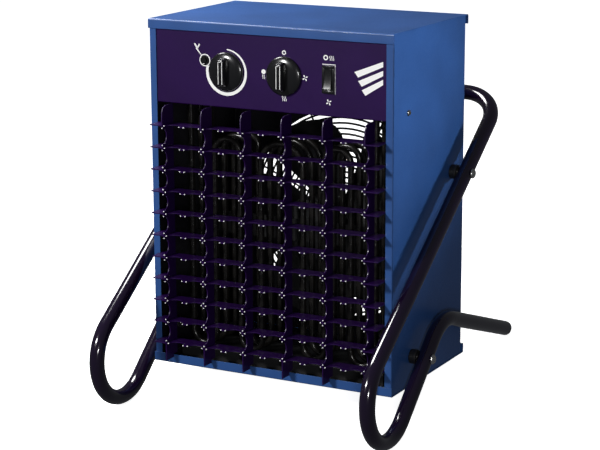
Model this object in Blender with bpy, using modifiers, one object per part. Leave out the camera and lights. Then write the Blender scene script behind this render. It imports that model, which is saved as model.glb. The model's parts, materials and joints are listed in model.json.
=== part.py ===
"""Portable electric fan heater: a sheet-metal casing carried by a bent tube frame.

The heater is modelled upright in its own coordinates (X to the right, Y to the back, Z up, with the
front flanges at Y = 0 and the casing's underside at Z = 0). One parent empty then leans it back on
its frame and stands it on the floor. Sizes are in metres.
"""

import math

import bmesh
import bpy
import numpy as np
from mathutils import Matrix, Vector

MM = 0.001
GAP = 0.3 * MM  # clearance between touching pieces

# Casing
CASE_WIDTH = 351.6 * MM
CASE_HEIGHT = 460 * MM
CASE_BACK = 224 * MM  # rear edge of the covers
SIDE_WIDTH = 350 * MM  # across the two side panels
SIDE_DEPTH = 217.5 * MM
SHEET = 1.2 * MM
RIM = 12.5 * MM  # height of the covers' front and rear skirts
FRONT_LIP = 1.5 * MM  # how far the covers stand in front of the flanges
FLANGE = 10 * MM  # front flange of a side panel
REAR_FLANGE = 13 * MM
FOLD_RADIUS = 2 * MM

# Control compartment
PANEL_FACE = SHEET + GAP  # Y of the control panel's front face
PANEL_BOTTOM = 351.6 * MM
PANEL_FOLD = 14 * MM
FLOOR_BOTTOM = PANEL_BOTTOM + SHEET + GAP
INNER_HALF = SIDE_WIDTH / 2 - SHEET - GAP  # half width between the side panels
INNER_TOP = CASE_HEIGHT - SHEET - GAP
KNOB_HEIGHT = 398 * MM
THERMOSTAT_X = -61 * MM
SELECTOR_X = 22.6 * MM
ROCKER_X = 85.5 * MM
RESET_X, RESET_Z = -92.5 * MM, 410.8 * MM
SPINDLE_RADIUS = 3 * MM

# Outlet grille
MODULE = 29.2 * MM
FIN_SHEET = 1.3 * MM
FIN_FRONT = -20 * MM
FIN_BACK = 7 * MM
FIN_END = SIDE_WIDTH / 2 - FLANGE - 0.5 * MM
STRIP_COUNT = 11
LOWEST_STRIP = 32.6 * MM
UPRIGHT_COUNT = 6
NOTCH_RADIUS = 10.8 * MM
NOTCH_STEPS = 3

# Air path
FAN_HEIGHT = 176 * MM
FAN_OPENING = 145 * MM
FAN_RADIUS = 140 * MM
BLADE_COUNT = 5
BLADE_START = math.radians(29)
HUB_RADIUS = 32 * MM
HUB_BACK = 186 * MM
SHAFT_RADIUS = 4 * MM
MOTOR_FRONT = 102.5 * MM
MOTOR_LENGTH = 52 * MM
REAR_PANEL_FACE = SIDE_DEPTH + GAP
GUARD_INNER = 22 * MM
GUARD_RINGS = 7
GUARD_PITCH = 19 * MM
WIRE_RADIUS = 1.4 * MM

# Heating elements
ELEMENT_RADIUS = 4.25 * MM
ELEMENT_LEGS = [-135, -99.75, -62.25, -30.75, 30.75, 62.25, 99.75, 135]  # in mm
ELEMENT_PLANES = [35, 60, 85]  # in mm
ELEMENT_TOP = 304.5 * MM
ELEMENT_BOTTOM = 24 * MM
ELEMENT_END = 372 * MM

# Tube frame
TUBE_RADIUS = 10 * MM
TUBE_WALL = 1.5 * MM
TUBE_X = 195.2 * MM
LOOP_CENTRE = Vector((-51.5 * MM, 20.8 * MM))  # (Y, Z)
LOOP_RADIUS = 58.8 * MM
UPPER_ANGLE = math.radians(36.0)
LOWER_ANGLE = math.radians(42.0)
REAR_ANGLE = math.radians(-18.2)
LOWER_LENGTH = 157.7 * MM  # from the loop to the corner before the rear leg
REAR_LENGTH = 231 * MM
REAR_RADIUS = 60 * MM
HANDLE_REACH = 470.2 * MM  # from the loop to the handle's centre line
HANDLE_RADIUS = 52.2 * MM
UPPER_BOLT = 324 * MM  # from the loop to the bolt, along the upper leg
LOWER_BOLT = 93 * MM
BOLT_RADIUS = 4 * MM

# Appliance inlet
INLET_Z = 404 * MM
INLET_BACK = REAR_PANEL_FACE + SHEET + GAP
INLET_DEPTH = 34 * MM
INLET_RADIUS = 27 * MM

BLUE = (0.030, 0.125, 0.360)
NAVY = (0.030, 0.014, 0.085)
BLACK = (0.012, 0.012, 0.014)


# ---------------------------------------------------------------- scene and helpers

for old in list(bpy.data.objects):
    bpy.data.objects.remove(old, do_unlink=True)

parts = bpy.data.collections.new("fan_heater")
cutters = bpy.data.collections.new("cutters")
bpy.context.scene.collection.children.link(parts)
bpy.context.scene.collection.children.link(cutters)

heater = bpy.data.objects.new("heater", None)
parts.objects.link(heater)


def material(name, colour, roughness, metallic=0.0):
    made = bpy.data.materials.new(name)
    made.use_nodes = True
    shader = made.node_tree.nodes["Principled BSDF"]
    shader.inputs["Base Color"].default_value = (*colour, 1)
    shader.inputs["Roughness"].default_value = roughness
    shader.inputs["Metallic"].default_value = metallic
    return made


PAINT_BLUE = material("blue_paint", BLUE, 0.4)
PAINT_NAVY = material("navy_paint", NAVY, 0.35)
PAINT_BLACK = material("black_paint", BLACK, 0.3)
PLASTIC = material("black_plastic", BLACK, 0.3)
RED_PLASTIC = material("red_plastic", (0.45, 0.02, 0.02), 0.35)
BEIGE = material("beige_plastic", (0.55, 0.48, 0.36), 0.5)
STEEL = material("zinc_steel", (0.55, 0.56, 0.58), 0.35, 1.0)
BRASS = material("brass", (0.72, 0.52, 0.22), 0.3, 1.0)
SHEATH = material("element_sheath", (0.06, 0.055, 0.05), 0.35, 0.9)


def keep(obj, look, parent=heater):
    """Puts a finished object among the parts, with its material and its parent."""
    parts.objects.link(obj)
    obj.parent = parent
    obj.data.materials.clear()
    obj.data.materials.append(look)
    if obj.type == "MESH":
        obj.data.shade_smooth()
        obj.data.set_sharp_from_angle(angle=math.radians(35))
    return obj


def as_cutter(obj, parent=heater):
    cutters.objects.link(obj)
    obj.parent = parent
    obj.hide_render = True
    obj.display_type = "WIRE"
    return obj


def mesh_from(name, bm):
    bmesh.ops.recalc_face_normals(bm, faces=bm.faces)
    mesh = bpy.data.meshes.new(name)
    bm.to_mesh(mesh)
    bm.free()
    return bpy.data.objects.new(name, mesh)


def add_box(bm, low, high):
    low, high = Vector(low), Vector(high)
    place = Matrix.Translation((low + high) / 2) @ Matrix.Diagonal((*(high - low), 1))
    return bmesh.ops.create_cube(bm, size=1, matrix=place)


def box(name, low, high):
    bm = bmesh.new()
    add_box(bm, low, high)
    return mesh_from(name, bm)


def add_rod(bm, start, end, radius, segments=24, end_radius=None):
    """A cylinder or cone from start to end."""
    start, end = Vector(start), Vector(end)
    way = end - start
    turn = way.to_track_quat("Z", "Y").to_matrix().to_4x4()
    place = Matrix.Translation((start + end) / 2) @ turn
    tip = radius if end_radius is None else end_radius
    return bmesh.ops.create_cone(bm, cap_ends=True, segments=segments, radius1=radius,
                                 radius2=tip, depth=way.length, matrix=place)


def rod(name, start, end, radius, segments=24, end_radius=None):
    bm = bmesh.new()
    add_rod(bm, start, end, radius, segments, end_radius)
    return mesh_from(name, bm)


def rounded(outline, radius, steps=3):
    """An open outline with its inner corners turned into short arcs."""
    points = [Vector(p) for p in outline]
    result = [points[0]]
    for before, corner, after in zip(points, points[1:], points[2:]):
        into = (corner - before).normalized()
        out = (after - corner).normalized()
        turn = into.angle(out)
        reach = radius * math.tan(turn / 2)
        start = corner - into * reach
        centre = start + (out - into * into.dot(out)).normalized() * radius
        for step in range(steps + 1):
            angle = turn * step / steps
            spoke = (start - centre) * math.cos(angle) + into * radius * math.sin(angle)
            result.append(centre + spoke)
    result.append(points[-1])
    return result


def folded_sheet(name, outline, low, high, to_space, thickness=SHEET, radius=FOLD_RADIUS):
    """A folded sheet: an outline drawn on its outer face, swept from low to high.

    Swapping low and high puts the metal on the outline's other side.
    """
    bm = bmesh.new()
    rails = []
    for along in (low, high):
        rails.append([bm.verts.new(to_space(p.x, p.y, along)) for p in rounded(outline, radius)])
    for k in range(len(rails[0]) - 1):
        bm.faces.new((rails[0][k], rails[0][k + 1], rails[1][k + 1], rails[1][k]))
    mesh = bpy.data.meshes.new(name)
    bm.to_mesh(mesh)
    bm.free()
    obj = bpy.data.objects.new(name, mesh)
    wall = obj.modifiers.new("wall", "SOLIDIFY")
    wall.thickness = thickness
    wall.offset = -1
    wall.use_even_offset = True
    return obj


def circle_points(centre, radius, count):
    turns = [math.tau * k / count for k in range(count)]
    return [(centre[0] + radius * math.cos(a), centre[1] + radius * math.sin(a)) for a in turns]


def plate(name, loops, thickness, place):
    """A flat plate of outlines and holes drawn in XY, extruded upwards from Z = 0, then placed."""
    curve = bpy.data.curves.new(name, "CURVE")
    curve.dimensions = "2D"
    curve.fill_mode = "BOTH"
    curve.extrude = thickness / 2
    for loop in loops:
        spline = curve.splines.new("POLY")
        spline.points.add(len(loop) - 1)
        for point, (x, y) in zip(spline.points, loop):
            point.co = (x, y, 0, 1)
        spline.use_cyclic_u = True
    flat = bpy.data.objects.new(name, curve)
    return to_mesh(flat, place @ Matrix.Translation((0, 0, thickness / 2)))


def to_mesh(curve_object, place=Matrix.Identity(4), weld=1e-6):
    """The curve's shape as a welded mesh object, with place applied to its points."""
    name = curve_object.name
    bpy.context.scene.collection.objects.link(curve_object)
    graph = bpy.context.evaluated_depsgraph_get()
    mesh = bpy.data.meshes.new_from_object(curve_object.evaluated_get(graph))
    bpy.data.objects.remove(curve_object, do_unlink=True)
    bm = bmesh.new()
    bm.from_mesh(mesh)
    bmesh.ops.remove_doubles(bm, verts=bm.verts, dist=weld)
    bmesh.ops.transform(bm, matrix=place, verts=bm.verts)
    if place.determinant() < 0:
        bmesh.ops.reverse_faces(bm, faces=bm.faces)
    bm.to_mesh(mesh)
    bm.free()
    return bpy.data.objects.new(name, mesh)


def tube_along(name, points, radius, capped, resolution=2):
    """A round bar or an open skin along a list of points."""
    curve = bpy.data.curves.new(name, "CURVE")
    curve.dimensions = "3D"
    curve.bevel_depth = radius
    curve.bevel_resolution = resolution
    curve.use_fill_caps = capped
    spline = curve.splines.new("POLY")
    spline.points.add(len(points) - 1)
    for point, place in zip(spline.points, points):
        point.co = (*place, 1)
    return to_mesh(bpy.data.objects.new(name, curve))


def boolean(obj, other, operation):
    step = obj.modifiers.new(other.name, "BOOLEAN")
    step.operation = operation
    step.solver = "EXACT"
    step.object = other


def cut(obj, other):
    boolean(obj, as_cutter(other), "DIFFERENCE")


def join(obj, other):
    boolean(obj, as_cutter(other), "UNION")


def turned(name, profile, segments, place):
    """A body of revolution about its own Z axis; the profile of (radius, height) runs top to bottom."""
    mesh = bpy.data.meshes.new(name)
    verts = [(r, 0, z) for r, z in profile]
    mesh.from_pydata(verts, [(k, k + 1) for k in range(len(verts) - 1)], [])
    obj = bpy.data.objects.new(name, mesh)
    obj.matrix_basis = place
    screw = obj.modifiers.new("turn", "SCREW")
    screw.axis = "Z"
    screw.steps = screw.render_steps = segments
    screw.use_merge_vertices = True
    screw.merge_threshold = 1e-5
    screw.use_normal_calculate = False
    return obj


def pivot(name, location):
    """An empty on a joint's axis, which carries the pieces that move about it."""
    empty = bpy.data.objects.new(name, None)
    parts.objects.link(empty)
    empty.parent = heater
    empty.location = location
    return empty


FACING_FRONT = Matrix.Rotation(math.radians(90), 4, "X")  # local Z points out of the front panel
FACING_BACK = Matrix.Rotation(math.radians(-90), 4, "X")


# ---------------------------------------------------------------- casing

def build_covers():
    front, back = -FRONT_LIP, CASE_BACK
    top_line = [(front, CASE_HEIGHT - RIM), (front, CASE_HEIGHT), (back, CASE_HEIGHT),
                (back, CASE_HEIGHT - RIM)]
    bottom_line = [(back, RIM), (back, 0), (front, 0), (front, RIM)]
    half = CASE_WIDTH / 2
    for name, line in (("top_cover", top_line), ("bottom_cover", bottom_line)):
        cover = folded_sheet(name, line, half, -half, lambda y, z, x: (x, y, z))
        keep(cover, PAINT_BLUE)


def side_screw_place(side):
    return Vector((side * SIDE_WIDTH / 2, 44.4 * MM, 357 * MM))


def build_side_panels():
    half = SIDE_WIDTH / 2
    bottom, top = SHEET + GAP, INNER_TOP
    for name, side in (("left_side_panel", -1), ("right_side_panel", 1)):
        line = [(side * (half - REAR_FLANGE), SIDE_DEPTH), (side * half, SIDE_DEPTH),
                (side * half, 0), (side * (half - FLANGE), 0)]
        ends = (bottom, top) if side < 0 else (top, bottom)
        panel = folded_sheet(name, line, *ends, lambda x, y, z: (x, y, z))
        bm = bmesh.new()
        for along, height in frame_bolt_places():
            add_rod(bm, (side * (half - 5 * MM), along, height),
                    (side * (half + 5 * MM), along, height), BOLT_RADIUS + GAP, 16)
        hole = side_screw_place(side)
        reach = Vector((side * 5 * MM, 0, 0))
        add_rod(bm, hole - reach, hole + reach, 2 * MM + GAP, 12)
        cut(panel, mesh_from(name + "_holes", bm))
        keep(panel, PAINT_BLUE)


def build_rear_panels():
    upright = Matrix.Translation((0, REAR_PANEL_FACE + SHEET, 0)) @ FACING_FRONT
    half = SIDE_WIDTH / 2 - 3 * MM
    low, middle, high = SHEET + 2 * GAP, PANEL_BOTTOM, INNER_TOP
    outline = [(-half, low), (half, low), (half, middle), (-half, middle)]
    opening = circle_points((0, FAN_HEIGHT), FAN_OPENING, 48)
    keep(plate("rear_panel", [outline, opening], SHEET, upright), PAINT_BLUE)
    outline = [(-half, middle + 2 * GAP), (half, middle + 2 * GAP), (half, high), (-half, high)]
    opening = circle_points((0, INLET_Z), INLET_RADIUS - 4 * MM, 32)
    keep(plate("rear_service_cover", [outline, opening], SHEET, upright), PAINT_BLUE)


def build_control_panel():
    half = INNER_HALF
    back = PANEL_FACE + PANEL_FOLD
    line = [(PANEL_FACE, INNER_TOP), (PANEL_FACE, PANEL_BOTTOM), (back, PANEL_BOTTOM)]
    panel = folded_sheet("control_panel", line, -half, half, lambda y, z, x: (x, y, z), radius=1.5 * MM)
    bm = bmesh.new()
    depth = 8 * MM
    for x, z, radius in ((THERMOSTAT_X, KNOB_HEIGHT, SPINDLE_RADIUS + 1.5 * MM),
                         (SELECTOR_X, KNOB_HEIGHT, SPINDLE_RADIUS + 1.5 * MM),
                         (RESET_X, RESET_Z, 4.6 * MM)):
        add_rod(bm, (x, PANEL_FACE - depth, z), (x, PANEL_FACE + depth, z), radius, 20)
    add_box(bm, (ROCKER_X - 6.8 * MM, PANEL_FACE - depth, KNOB_HEIGHT - 15 * MM),
            (ROCKER_X + 6.8 * MM, PANEL_FACE + depth, KNOB_HEIGHT + 15 * MM))
    cut(panel, mesh_from("panel_holes", bm))
    keep(panel, PAINT_NAVY)


def build_compartment_floor():
    half = INNER_HALF
    front, back = PANEL_FACE + SHEET + 2 * GAP, SIDE_DEPTH - SHEET - GAP
    outline = [(-half, front), (half, front), (half, back), (-half, back)]
    holes = [circle_points((leg * MM, plane * MM), ELEMENT_RADIUS + 0.5 * MM, 12)
             for plane in ELEMENT_PLANES for leg in (ELEMENT_LEGS[0], ELEMENT_LEGS[-1])]
    place = Matrix.Translation((0, 0, FLOOR_BOTTOM))
    keep(plate("compartment_floor", [outline, *holes], SHEET, place), STEEL)


# ---------------------------------------------------------------- outlet grille

def toothed_edge(low, high, centres, front, notch):
    """Points along a fin's front edge, with a round notch centred between each pair of teeth."""
    points = [(low, front)]
    for centre in centres:
        for step in range(NOTCH_STEPS + 1):
            angle = math.pi * step / NOTCH_STEPS
            points.append((centre - notch * math.cos(angle), front + notch * math.sin(angle)))
    points.append((high, front))
    return points


def build_grille():
    rows = [LOWEST_STRIP + MODULE * k for k in range(STRIP_COUNT)]
    columns = [MODULE * 2 * (k - (UPRIGHT_COUNT - 1) / 2) for k in range(UPRIGHT_COUNT)]
    bm = bmesh.new()

    def add_fin(outline, to_space):
        rings = [[bm.verts.new(to_space(a, b, side * FIN_SHEET / 2)) for a, b in outline]
                 for side in (-1, 1)]
        count = len(outline)
        bm.faces.new(rings[0])
        bm.faces.new(reversed(rings[1]))
        for k in range(count):
            bm.faces.new((rings[0][k - 1], rings[0][k], rings[1][k], rings[1][k - 1]))

    notches = [MODULE * (k + 0.5) for k in range(-6, 6) if abs(MODULE * (k + 0.5)) < FIN_END - MODULE / 2]
    for z in rows:
        edge = toothed_edge(-FIN_END, FIN_END, notches, FIN_FRONT, NOTCH_RADIUS)
        outline = edge + [(FIN_END, FIN_BACK), (-FIN_END, FIN_BACK)]
        add_fin(outline, lambda x, y, t, z=z: (x, y, z + t))
    strips = mesh_from("outlet_grille", bm)

    bm = bmesh.new()
    low, sill, high = 9 * MM, RIM + SHEET, PANEL_BOTTOM - 1.5 * MM
    notches = [(a + b) / 2 for a, b in zip(rows, rows[1:])]
    for x in columns:
        edge = toothed_edge(low, high - 9 * MM, notches, FIN_FRONT, NOTCH_RADIUS)
        outline = edge + [(high - 2.6 * MM, FIN_FRONT + 2.6 * MM), (high, FIN_FRONT + 9 * MM),
                          (high, FIN_BACK), (sill, FIN_BACK), (sill, -FRONT_LIP - 2 * GAP),
                          (low, -FRONT_LIP - 2 * GAP)]
        add_fin(outline, lambda z, y, t, x=x: (x + t, y, z))
    join(strips, mesh_from("grille_uprights", bm))
    keep(strips, PAINT_NAVY)


# ---------------------------------------------------------------- fan and guard

def build_guard():
    back = REAR_PANEL_FACE + SHEET + GAP + WIRE_RADIUS
    bm = bmesh.new()
    for k in range(GUARD_RINGS + 1):
        ring_radius = GUARD_INNER + GUARD_PITCH * k
        segments = 14 if k < 2 else 26
        path = circle_points((0, 0), ring_radius, segments)
        rings = []
        for x, z in path:
            out = Vector((x, 0, z)).normalized()
            middle = Vector((x, back, z + FAN_HEIGHT))
            corners = [out, Vector((0, 1, 0)), -out, Vector((0, -1, 0))]
            rings.append([bm.verts.new(middle + c * WIRE_RADIUS) for c in corners])
        for i in range(segments):
            for j in range(4):
                bm.faces.new((rings[i - 1][j - 1], rings[i][j - 1], rings[i][j], rings[i - 1][j]))
    guard = mesh_from("rear_guard", bm)
    bm = bmesh.new()
    reach = GUARD_INNER + GUARD_PITCH * GUARD_RINGS
    add_rod(bm, (0, back - WIRE_RADIUS, FAN_HEIGHT), (0, back + WIRE_RADIUS, FAN_HEIGHT), 24 * MM, 20)
    hub = mesh_from("guard_plate", bm)
    join(guard, hub)
    for k in range(4):
        angle = math.radians(45 + 90 * k)
        way = Vector((math.cos(angle), 0, math.sin(angle)))
        middle = Vector((0, back, FAN_HEIGHT))
        spoke = rod(f"guard_spoke_{k}", middle + way * 10 * MM, middle + way * (reach + 9 * MM), 1.9 * MM, 6)
        join(guard, spoke)
    keep(guard, PAINT_BLACK)


def build_impeller(spinner):
    hub_front, hub_back = -22 * MM, 0
    hub = rod("fan_impeller", (0, hub_front, 0), (0, hub_back, 0), HUB_RADIUS, 32)
    bm = bmesh.new()
    across, out = 4, 4
    for blade in range(BLADE_COUNT):
        start = BLADE_START + math.tau * blade / BLADE_COUNT
        rows = []
        for i in range(out + 1):
            share = i / out
            radius = (HUB_RADIUS - 6 * MM) * (1 - share) + FAN_RADIUS * share
            half_angle = math.radians(34 - 6 * share)
            half_rise = (15 - 6 * share) * MM
            row = []
            for j in range(across + 1):
                t = 2 * j / across - 1
                angle = start + half_angle * t + math.radians(14) * share ** 2
                y = -11 * MM + half_rise * (t + 0.25 * (t * t - 1))
                row.append(bm.verts.new((radius * math.cos(angle), y, radius * math.sin(angle))))
            rows.append(row)
        for low, high in zip(rows, rows[1:]):
            for j in range(across):
                bm.faces.new((low[j], low[j + 1], high[j + 1], high[j]))
    blades_object = mesh_from("impeller_blades", bm)
    wall = blades_object.modifiers.new("wall", "SOLIDIFY")
    wall.thickness = 1.6 * MM
    wall.offset = 0
    boolean(hub, as_cutter(blades_object, spinner), "UNION")
    bore = rod("impeller_bore", (0, -60 * MM, 0), (0, 60 * MM, 0), SHAFT_RADIUS + GAP, 16)
    boolean(hub, as_cutter(bore, spinner), "DIFFERENCE")
    keep(hub, PAINT_BLACK, spinner)


def build_fan():
    spinner = pivot("fan_axis", (0, HUB_BACK, FAN_HEIGHT))
    build_impeller(spinner)
    shaft_front = MOTOR_FRONT + 14 * MM - HUB_BACK
    keep(rod("motor_shaft", (0, shaft_front, 0), (0, 12 * MM, 0), SHAFT_RADIUS, 16), STEEL, spinner)
    nut = rod("impeller_nut", (0, GAP, 0), (0, 7 * MM, 0), 8 * MM, 6)
    bore = rod("nut_bore", (0, -9 * MM, 0), (0, 9 * MM, 0), SHAFT_RADIUS + GAP, 16)
    boolean(nut, as_cutter(bore, spinner), "DIFFERENCE")
    keep(nut, STEEL, spinner)

    back = MOTOR_FRONT + MOTOR_LENGTH
    motor = rod("fan_motor", (0, MOTOR_FRONT, FAN_HEIGHT), (0, back - 9 * MM, FAN_HEIGHT), 42 * MM, 32)
    join(motor, rod("motor_end", (0, back - 10 * MM, FAN_HEIGHT), (0, back, FAN_HEIGHT), 36 * MM, 32))
    cut(motor, rod("motor_bore", (0, MOTOR_FRONT + 12 * MM, FAN_HEIGHT),
                   (0, back + 5 * MM, FAN_HEIGHT), SHAFT_RADIUS + GAP, 16))
    keep(motor, PAINT_BLACK)

    face = MOTOR_FRONT - 2 * MM - GAP
    line = [(-INNER_HALF, face + 20 * MM), (-INNER_HALF, face), (INNER_HALF, face),
            (INNER_HALF, face + 20 * MM)]
    bracket = folded_sheet("motor_bracket", line, FAN_HEIGHT - 15 * MM, FAN_HEIGHT + 15 * MM,
                           lambda x, y, z: (x, y, z), thickness=2 * MM, radius=3 * MM)
    keep(bracket, PAINT_BLACK)


# ---------------------------------------------------------------- heating elements

def element_path(plane):
    """Down the first leg, along the bends, and up the last leg, as (X, Y, Z) points."""
    legs = [leg * MM for leg in ELEMENT_LEGS]
    points = [(legs[0], plane, ELEMENT_END)]
    steps = 5
    for k, (a, b) in enumerate(zip(legs, legs[1:])):
        radius, middle = (b - a) / 2, (a + b) / 2
        sign = -1 if k % 2 == 0 else 1
        centre = ELEMENT_TOP - radius if sign > 0 else ELEMENT_BOTTOM + radius
        for step in range(steps + 1):
            angle = math.pi * step / steps
            points.append((middle - radius * math.cos(angle), plane, centre + sign * radius * math.sin(angle)))
    points.append((legs[-1], plane, ELEMENT_END))
    return points


def build_elements():
    for number, plane in enumerate(ELEMENT_PLANES, 1):
        element = tube_along(f"heating_element_{number}", element_path(plane * MM), ELEMENT_RADIUS,
                             capped=True)
        keep(element, SHEATH)
    low = SHEET + GAP
    high = ELEMENT_BOTTOM - ELEMENT_RADIUS - GAP
    front, back = (ELEMENT_PLANES[0] - 8) * MM, (ELEMENT_PLANES[-1] + 8) * MM
    line = [(front, low), (front, high), (back, high), (back, low)]
    rail = folded_sheet("element_rest", line, 150 * MM, -150 * MM, lambda y, z, x: (x, y, z))
    keep(rail, PAINT_BLACK)


# ---------------------------------------------------------------- tube frame

def direction(angle):
    return Vector((math.cos(angle), math.sin(angle)))


def left_normal(angle):
    return Vector((-math.sin(angle), math.cos(angle)))


UPPER_START = LOOP_CENTRE + left_normal(UPPER_ANGLE) * LOOP_RADIUS
LOWER_START = LOOP_CENTRE - left_normal(LOWER_ANGLE) * LOOP_RADIUS
REAR_CORNER = LOWER_START + direction(LOWER_ANGLE) * LOWER_LENGTH


def lean_angle():
    """The tilt at which the front loops and the rims of the rear legs' ends touch one floor."""
    end = REAR_CORNER + direction(REAR_ANGLE) * (REAR_LENGTH + GAP)
    rim = end - left_normal(REAR_ANGLE) * TUBE_RADIUS
    reach = rim - LOOP_CENTRE
    return math.atan2(reach.y, reach.x) + math.asin((LOOP_RADIUS + TUBE_RADIUS) / reach.length)


def frame_bolt_places():
    """(Y, Z) of the upper and the lower bolt of each side."""
    upper = UPPER_START + direction(UPPER_ANGLE) * UPPER_BOLT
    lower = LOWER_START + direction(LOWER_ANGLE) * LOWER_BOLT
    return [tuple(upper), tuple(lower)]


def arc(centre, radius, start, end, steps):
    return [centre + direction(start + (end - start) * k / steps) * radius for k in range(steps + 1)]


def side_tube_path(side):
    """From the rear leg's end, round the front loop, up to the handle's middle."""
    quarter = math.pi / 2
    flat = [REAR_CORNER + direction(REAR_ANGLE) * REAR_LENGTH]
    turn = LOWER_ANGLE - REAR_ANGLE
    tangent = REAR_CORNER - direction(LOWER_ANGLE) * REAR_RADIUS * math.tan(turn / 2)
    centre = tangent - left_normal(LOWER_ANGLE) * REAR_RADIUS
    flat += arc(centre, REAR_RADIUS, REAR_ANGLE + quarter, LOWER_ANGLE + quarter, 5)
    flat += arc(LOOP_CENTRE, LOOP_RADIUS, LOWER_ANGLE - quarter, UPPER_ANGLE + quarter - math.tau, 24)
    points = [Vector((side * TUBE_X, p.x, p.y)) for p in flat]
    steps = 6
    for k in range(steps + 1):
        angle = quarter * k / steps
        along = HANDLE_REACH - HANDLE_RADIUS * (1 - math.sin(angle))
        p = UPPER_START + direction(UPPER_ANGLE) * along
        points.append(Vector((side * (TUBE_X - HANDLE_RADIUS * (1 - math.cos(angle))), p.x, p.y)))
    p = UPPER_START + direction(UPPER_ANGLE) * HANDLE_REACH
    points.append(Vector((side * GAP / 2, p.x, p.y)))
    return points


def build_frame_tubes():
    for name, side in (("left_frame_tube", -1), ("right_frame_tube", 1)):
        tube = tube_along(name, side_tube_path(side), TUBE_RADIUS, capped=False, resolution=2)
        wall = tube.modifiers.new("wall", "SOLIDIFY")
        wall.thickness = TUBE_WALL
        wall.offset = -1
        bm = bmesh.new()
        for along, height in frame_bolt_places():
            add_rod(bm, (side * (TUBE_X - 15 * MM), along, height),
                    (side * (TUBE_X + 15 * MM), along, height), BOLT_RADIUS + GAP, 12)
        cut(tube, mesh_from(name + "_holes", bm))
        keep(tube, PAINT_BLACK)

        start, towards = side_tube_path(side)[:2]
        out = (start - towards).normalized()
        bore = TUBE_RADIUS - TUBE_WALL - 2 * GAP
        cap = rod(name.replace("frame_tube", "leg_cap"), start + out * GAP, start + out * 4 * MM,
                  TUBE_RADIUS, 16, TUBE_RADIUS - 2 * MM)
        plug = rod(cap.name + "_plug", start - out * 14 * MM, start + out * 2 * MM, bore * 0.98, 16)
        join(cap, plug)
        keep(cap, PLASTIC)

    middle = side_tube_path(1)[-1]
    reach = Vector((30 * MM, 0, 0))
    middle.x = 0
    bore = TUBE_RADIUS - TUBE_WALL - 2 * GAP
    keep(rod("handle_joiner", middle - reach, middle + reach, bore * 0.98, 16), STEEL)


def build_frame_fixings():
    inner = SIDE_WIDTH / 2
    for word, side in (("left", -1), ("right", 1)):
        for level, (along, height) in zip(("upper", "lower"), frame_bolt_places()):
            def at(x):
                return (side * x, along, height)

            spacer = rod(f"{word}_{level}_spacer", at(inner + GAP), at(TUBE_X - TUBE_RADIUS - GAP),
                         9.5 * MM, 20)
            cut(spacer, rod(spacer.name + "_hole", at(inner - 9 * MM), at(TUBE_X), BOLT_RADIUS + GAP, 12))
            keep(spacer, PLASTIC)

            head = TUBE_X + TUBE_RADIUS + GAP
            bolt = rod(f"{word}_{level}_bolt", at(inner - 12 * MM), at(head + 1 * MM), BOLT_RADIUS, 12)
            join(bolt, rod(bolt.name + "_head", at(head), at(head + 4 * MM), 6.5 * MM, 16, 4.5 * MM))
            keep(bolt, STEEL)

            nut = rod(f"{word}_{level}_nut", at(inner - SHEET - GAP - 6.5 * MM), at(inner - SHEET - GAP),
                      7.5 * MM, 6)
            cut(nut, rod(nut.name + "_bore", at(inner - 20 * MM), at(inner + 5 * MM), BOLT_RADIUS + GAP, 12))
            keep(nut, STEEL)


# ---------------------------------------------------------------- controls

def build_knob(name, axis):
    """A skirted knob with a bar grip; its origin is on the panel, and local Z points outwards."""
    profile = [(0, 17.5 * MM), (16.5 * MM, 16.5 * MM), (18.5 * MM, 14.5 * MM), (21.5 * MM, 5 * MM),
               (24.6 * MM, 3.6 * MM), (25 * MM, 2.6 * MM), (25 * MM, 0.8 * MM), (0, 0.8 * MM)]
    knob = turned(name, profile, 32, FACING_FRONT)
    bm = bmesh.new()
    for side in (-1, 1):
        add_box(bm, (side * 5 * MM, -30 * MM, 6.5 * MM), (side * 30 * MM, 30 * MM, 30 * MM))
    scoop = mesh_from(name + "_scoops", bm)
    edge = scoop.modifiers.new("edge", "BEVEL")
    edge.width = 4 * MM
    edge.segments = 3
    scoop.matrix_basis = FACING_FRONT
    boolean(knob, as_cutter(scoop, axis), "DIFFERENCE")
    bore = rod(name + "_bore", (0, 0, -5 * MM), (0, 0, 9 * MM), SPINDLE_RADIUS + GAP, 12)
    bore.matrix_basis = FACING_FRONT
    boolean(knob, as_cutter(bore, axis), "DIFFERENCE")
    keep(knob, PLASTIC, axis)


def build_rotary(word, x, body_size):
    """A knob on its spindle, which turns in a switch body behind the panel."""
    axis = pivot(word + "_axis", (x, PANEL_FACE, KNOB_HEIGHT))
    build_knob(word + "_knob", axis)
    spindle = rod(word + "_spindle", (0, -8.5 * MM, 0), (0, 12 * MM, 0), SPINDLE_RADIUS, 12)
    keep(spindle, STEEL, axis)
    width, height, depth = body_size
    front = PANEL_FACE + SHEET + GAP
    body = box(word + "_body", (x - width / 2, front, KNOB_HEIGHT - height / 2),
               (x + width / 2, front + depth, KNOB_HEIGHT + height / 2))
    edge = body.modifiers.new("edge", "BEVEL")
    edge.width = 1.2 * MM
    cut(body, rod(word + "_body_bore", (x, front - 5 * MM, KNOB_HEIGHT),
                  (x, front + 13 * MM, KNOB_HEIGHT), SPINDLE_RADIUS + GAP, 12))
    keep(body, BEIGE)


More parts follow.
